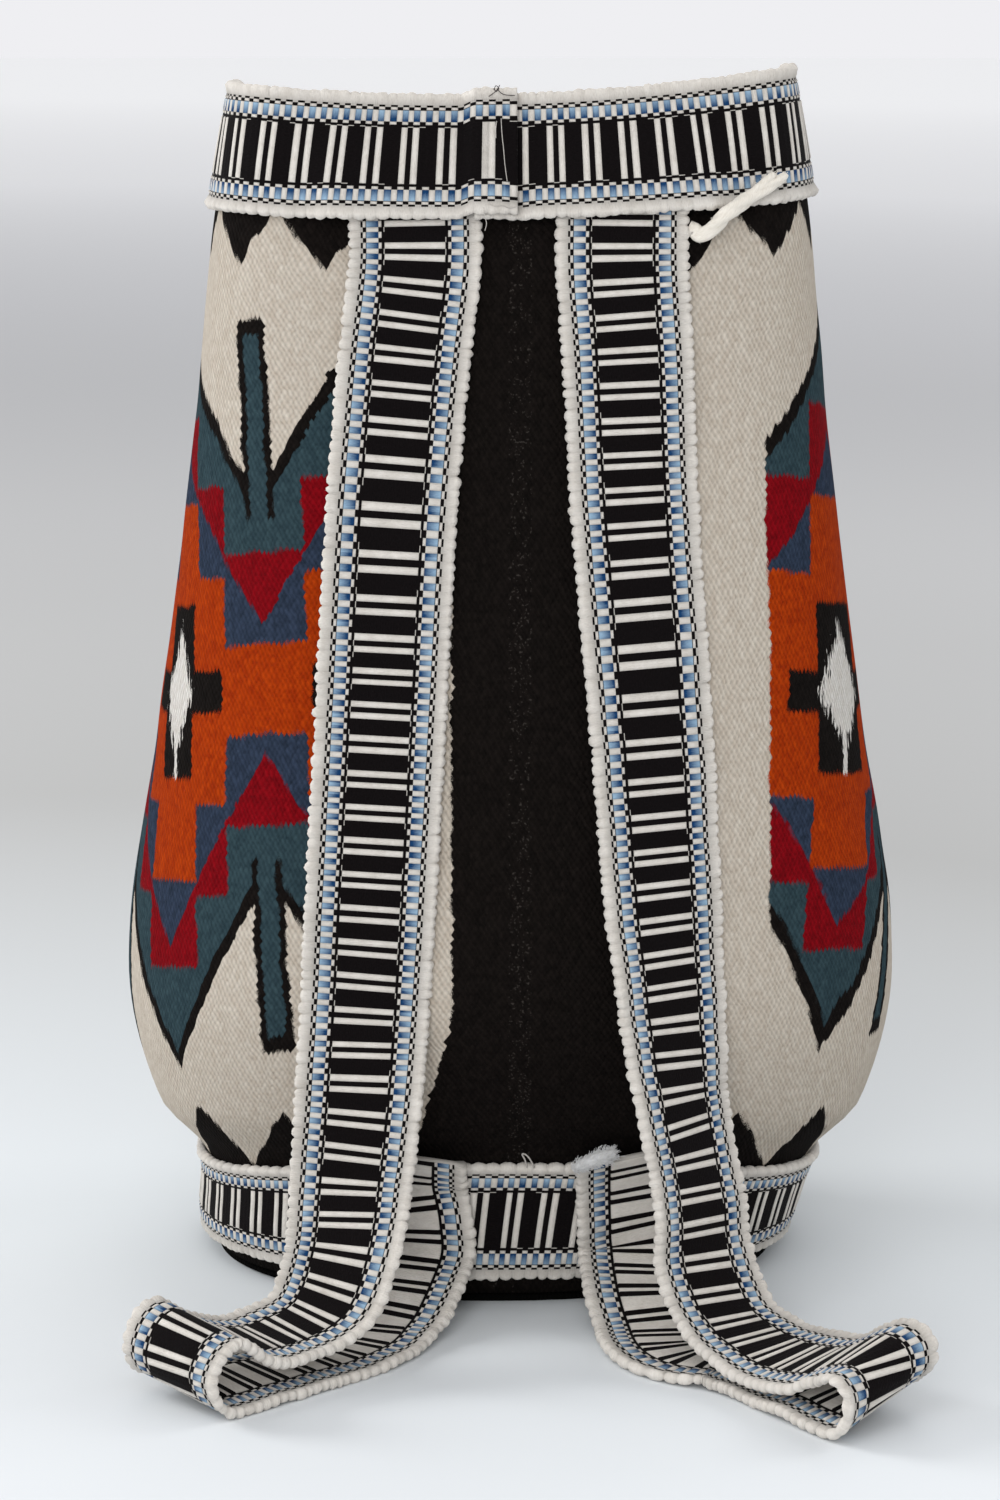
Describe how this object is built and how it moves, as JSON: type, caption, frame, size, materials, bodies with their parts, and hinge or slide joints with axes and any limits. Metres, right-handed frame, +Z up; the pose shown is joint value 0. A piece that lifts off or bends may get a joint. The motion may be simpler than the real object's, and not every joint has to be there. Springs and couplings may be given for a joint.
{
  "type": "woven wool backpack",
  "caption": "Tall open-mouthed bucket backpack of tapestry wool on a flat round sole, edged with narrow woven belt at mouth and foot, with shoulder straps of the same belt.",
  "frame": {"origin": "on the underside of the sole, below the axis of the bag", "axes": "+Z up the bag from sole to mouth, -Y out of the side that carries the straps, +X to the right as that side is looked at"},
  "size_m": [0.2886, 0.363, 0.4445],
  "materials": {
    "tapestry_wool": "weft-faced wool tapestry, cream ground with stepped coloured motifs and a black back panel",
    "black_wool": "plain black wool cloth, matt",
    "top_belt": "woven belt, black and white ladder between blue and white borders and cream lumpy selvages",
    "bottom_belt": "woven belt, black and white ladder between blue and white borders and cream lumpy selvages",
    "left_strap_belt": "woven belt, black and white ladder between blue and white borders and cream lumpy selvages",
    "right_strap_belt": "woven belt, black and white ladder between blue and white borders and cream lumpy selvages",
    "cream_yarn": "soft two-ply cream yarn"
  },
  "bodies": {
    "root": {"body_cloth": "tapestry_wool", "base_cloth": "black_wool", "top_band": "top_belt", "bottom_band": "bottom_belt", "strap_left": "left_strap_belt", "strap_right": "right_strap_belt", "tie_yarn": "cream_yarn"}
  },
  "joints": []
}
